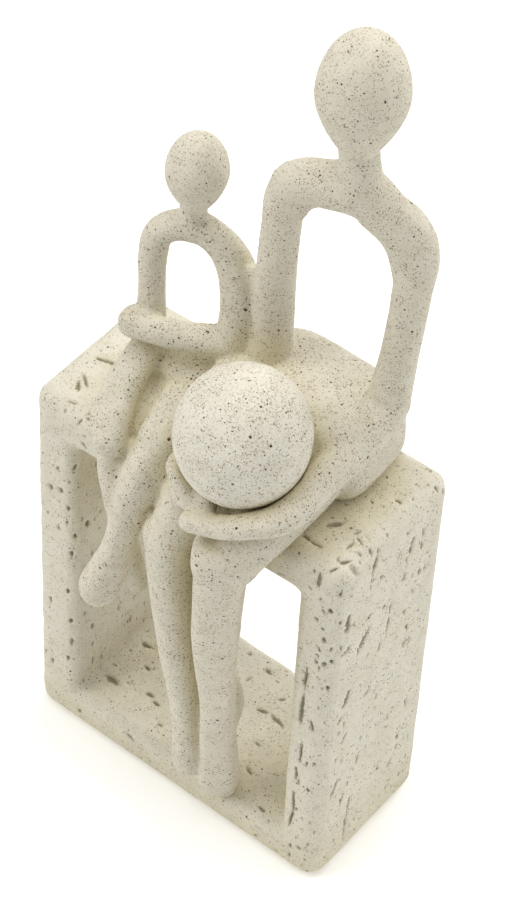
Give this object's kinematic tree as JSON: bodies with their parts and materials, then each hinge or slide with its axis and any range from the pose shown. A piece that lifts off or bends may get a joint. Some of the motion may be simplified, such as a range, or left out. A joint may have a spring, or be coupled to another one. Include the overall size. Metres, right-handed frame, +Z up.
{
  "type": "maternity figurine",
  "caption": "Seated mother holding a ball in her lap with a child leaning on her side, on an open rectangular block.",
  "frame": {"origin": "centre of the block's underside", "axes": "+Z up; the figures face -Y; +X to the right as seen from the front"},
  "size_m": [0.1022, 0.0653, 0.2752],
  "materials": {
    "cast_stone": "matte cast stone resin, pale cream, finely speckled dark brown and rust",
    "ball_stone": "matte cast stone resin, off-white, densely speckled",
    "block_stone": "matte cast stone resin, cream, rough with pits and scratches like travertine"
  },
  "bodies": {
    "root": {"mother_and_child": "cast_stone", "belly_ball": "ball_stone", "frame_block": "block_stone"}
  },
  "joints": []
}
